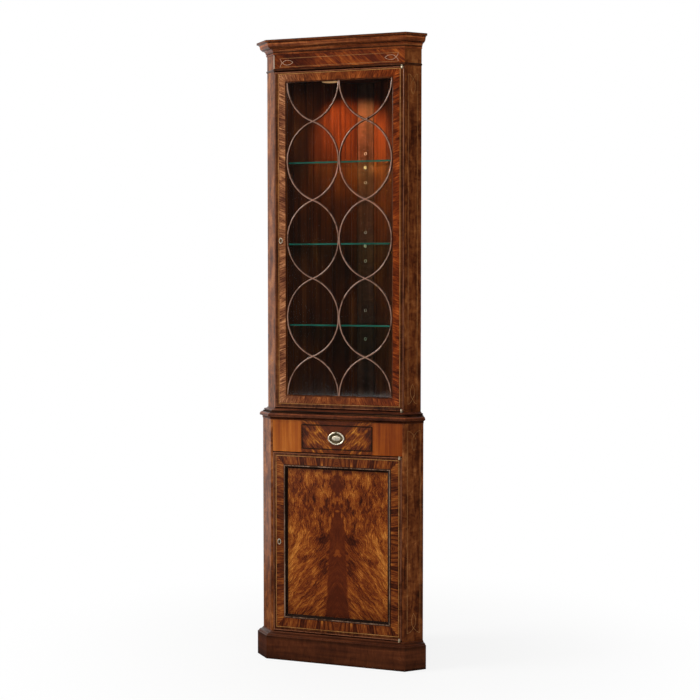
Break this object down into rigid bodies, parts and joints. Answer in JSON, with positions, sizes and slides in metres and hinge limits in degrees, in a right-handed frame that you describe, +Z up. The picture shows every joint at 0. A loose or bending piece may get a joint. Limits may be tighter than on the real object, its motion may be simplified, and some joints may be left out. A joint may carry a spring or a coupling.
{
  "type": "corner display cabinet",
  "caption": "Tall two-stage wooden corner cabinet: glazed upper door with interlaced serpentine bars over a drawer and a panelled cupboard door, all opening.",
  "frame": {"origin": "on the floor, under the middle of the cabinet's bounding box", "axes": "+Z up, -Y out of the front through the doors, +Y towards the room's corner, +X to the right as seen from the front"},
  "size_m": [0.6652, 0.3942, 2.29],
  "materials": {
    "carcase_mahogany": "satin",
    "door_mahogany": "gloss",
    "flame_veneer": "gloss",
    "dark_moulding": "gloss",
    "plinth_mahogany": "gloss",
    "bar_mahogany": "satin",
    "inner_mahogany": "satin",
    "back_boards": "satin",
    "drawer_lining": "matte",
    "window_glass": "clear",
    "shelf_glass": "clear",
    "old_brass": "aged",
    "lock_brass": "satin",
    "bolt_steel": "satin",
    "lamp_housing": "satin",
    "lamp_lens": "frosted"
  },
  "bodies": {
    "cabinet": {"plinth_front": "plinth_mahogany", "plinth_ends": "plinth_mahogany", "plinth_bearers": "inner_mahogany", "plinth_moulding": "plinth_mahogany", "lower_bottom_board": "inner_mahogany", "lower_side_left": "carcase_mahogany", "lower_side_right": "carcase_mahogany", "lower_back_left": "back_boards", "lower_back_right": "back_boards", "drawer_rail_upper": "carcase_mahogany", "drawer_rail_lower": "carcase_mahogany", "drawer_side_panels": "flame_veneer", "drawer_runners": "drawer_lining", "lower_shelf": "inner_mahogany", "lower_top_board": "inner_mahogany", "waist_moulding": "carcase_mahogany", "upper_base_moulding": "carcase_mahogany", "upper_bottom_board": "inner_mahogany", "upper_side_left": "carcase_mahogany", "upper_side_right": "carcase_mahogany", "upper_back_left": "back_boards", "upper_back_right": "back_boards", "back_corner_post": "inner_mahogany", "shelf_pins_and_sleeves": "lock_brass", "glass_shelves": "shelf_glass", "upper_top_board": "inner_mahogany", "frieze": "carcase_mahogany", "frieze_astragal": "carcase_mahogany", "cornice": "carcase_mahogany", "dust_board": "inner_mahogany", "light_housing": "lamp_housing", "light_lens": "lamp_lens", "hinge_frame_leaves": "old_brass"},
    "upper_door": {"upper_door_stile_left": "door_mahogany", "upper_door_stile_right": "door_mahogany", "upper_door_rail_top": "door_mahogany", "upper_door_rail_bottom": "door_mahogany", "upper_door_glass": "window_glass", "upper_door_bead": "bar_mahogany", "upper_door_lock": "lock_brass", "upper_door_hinge_leaves": "old_brass", "glazing_beads": "bar_mahogany", "tracery": "bar_mahogany"},
    "lower_door": {"lower_door_stile_left": "door_mahogany", "lower_door_stile_right": "door_mahogany", "lower_door_rail_top": "door_mahogany", "lower_door_rail_bottom": "door_mahogany", "lower_door_panel": "flame_veneer", "lower_door_bead": "bar_mahogany", "lower_door_lock": "lock_brass", "lower_door_hinge_leaves": "old_brass", "lower_panel_moulding": "dark_moulding"},
    "drawer": {"drawer_front": "flame_veneer", "drawer_sides": "drawer_lining", "drawer_back": "drawer_lining", "drawer_bottom": "drawer_lining", "drawer_pull_plate": "old_brass"},
    "drawer_pull": {"drawer_pull_ring": "old_brass"},
    "upper_bolt": {"upper_lock_bolt": "bolt_steel"},
    "lower_bolt": {"lower_lock_bolt": "bolt_steel"}
  },
  "joints": [
    {"name": "upper_door_hinge", "type": "hinge", "parent": "cabinet", "child": "upper_door", "pos_m": [0.243, -0.1558, 1.55], "axis": [0, 0, 1], "range_deg": [0, 135]},
    {"name": "lower_door_hinge", "type": "hinge", "parent": "cabinet", "child": "lower_door", "pos_m": [0.243, -0.1768, 0.44], "axis": [0, 0, 1], "range_deg": [0, 135]},
    {"name": "drawer_slide", "type": "slide", "parent": "cabinet", "child": "drawer", "axis": [0, -1, 0], "range_m": [0, 0.15]},
    {"name": "pull_ring_hinge", "type": "hinge", "parent": "drawer", "child": "drawer_pull", "pos_m": [0, -0.1776, 0.8555], "axis": [-1, 0, 0], "range_deg": [0, 140]},
    {"name": "upper_bolt_slide", "type": "slide", "parent": "upper_door", "child": "upper_bolt", "axis": [-1, 0, 0], "range_m": [0, 0.0065]},
    {"name": "lower_bolt_slide", "type": "slide", "parent": "lower_door", "child": "lower_bolt", "axis": [-1, 0, 0], "range_m": [0, 0.0065]}
  ]
}
